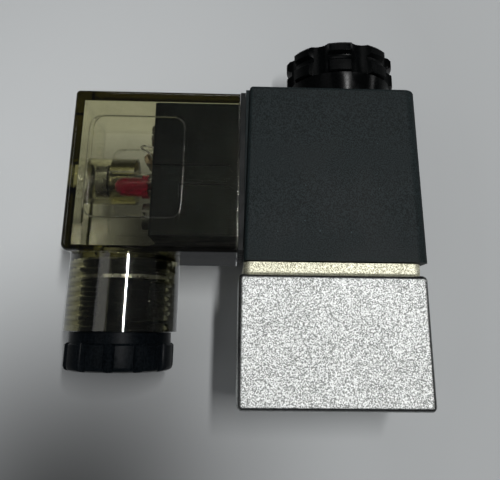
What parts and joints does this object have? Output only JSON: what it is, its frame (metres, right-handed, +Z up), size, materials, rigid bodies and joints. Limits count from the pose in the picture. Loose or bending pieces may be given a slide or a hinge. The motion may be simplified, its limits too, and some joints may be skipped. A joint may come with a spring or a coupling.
{
  "type": "solenoid valve",
  "caption": "Small solenoid start valve for a compressor: metal port block, upright coil held by a lobed nut, clear cable plug with gland and lamp.",
  "frame": {"origin": "underside of the valve block, straight below the armature axis", "axes": "+Z up along the armature axis, -X towards the cable plug, +Y across the block"},
  "size_m": [0.0591, 0.022, 0.061],
  "materials": {
    "valve_metal": "fine blasted",
    "zinc_plate": "yellow passivated zinc",
    "steel": "machined",
    "core_steel": "turned",
    "copper": "bright",
    "brass": "bright",
    "tin": "tinned",
    "black_rubber": "matt",
    "coil_plastic": "fine moulded grain",
    "insert_plastic": "moulded",
    "knob_plastic": "moulded",
    "bobbin_plastic": "moulded",
    "clear_plastic": "smoky clear",
    "led_red": "tinted clear",
    "resistor_body": "lacquered"
  },
  "bodies": {
    "valve": {"valve_body": "valve_metal", "bonnet_plate": "zinc_plate", "plate_screws": "steel", "flange_seal": "black_rubber", "armature_tube": "steel", "fixed_core": "core_steel", "shading_ring": "copper", "return_spring": "steel"},
    "plunger": {"plunger": "core_steel", "plunger_seal": "black_rubber"},
    "coil": {"coil_case": "coil_plastic", "coil_yoke": "steel", "coil_bobbin": "bobbin_plastic", "coil_winding": "copper", "live_blades": "tin", "earth_blade": "tin", "coil_thread_insert": "brass"},
    "coil_nut": {"coil_nut": "knob_plastic", "coil_nut_ring": "black_rubber"},
    "plug": {"plug_cover": "clear_plastic", "plug_insert": "insert_plastic", "live_contacts": "brass", "earth_contact": "brass", "terminal_screws": "steel", "plug_gasket": "black_rubber", "led_lamp": "led_red", "led_leads": "tin", "led_resistor": "resistor_body"},
    "plug_screw": {"plug_screw": "steel", "plug_screw_seal": "black_rubber"},
    "gland_nut": {"gland_nut": "knob_plastic", "gland_washer": "steel", "cable_seal": "black_rubber"}
  },
  "joints": [
    {"name": "plunger_lift", "type": "slide", "parent": "valve", "child": "plunger", "axis": [0, 0, 1], "range_m": [0, 0.0015], "stiffness_N_per_m": 150, "springref_m": -0.01, "deforming": ["return_spring"]},
    {"name": "coil_turn", "type": "hinge", "parent": "valve", "child": "coil", "pos_m": [0, 0, 0.0366], "axis": [0, 0, 1], "continuous": true},
    {"name": "coil_nut_turn", "type": "hinge", "parent": "valve", "child": "coil_nut", "pos_m": [0, 0, 0.056], "axis": [0, 0, 1], "continuous": true},
    {"name": "plug_pull", "type": "slide", "parent": "coil", "child": "plug", "axis": [-1, 0, 0], "range_m": [0, 0.011]},
    {"name": "plug_screw_turn", "type": "hinge", "parent": "plug", "child": "plug_screw", "pos_m": [-0.04, 0, 0.0367], "axis": [1, 0, 0], "continuous": true},
    {"name": "gland_nut_turn", "type": "hinge", "parent": "plug", "child": "gland_nut", "pos_m": [-0.0383, 0, 0.009], "axis": [0, 0, 1], "continuous": true}
  ]
}
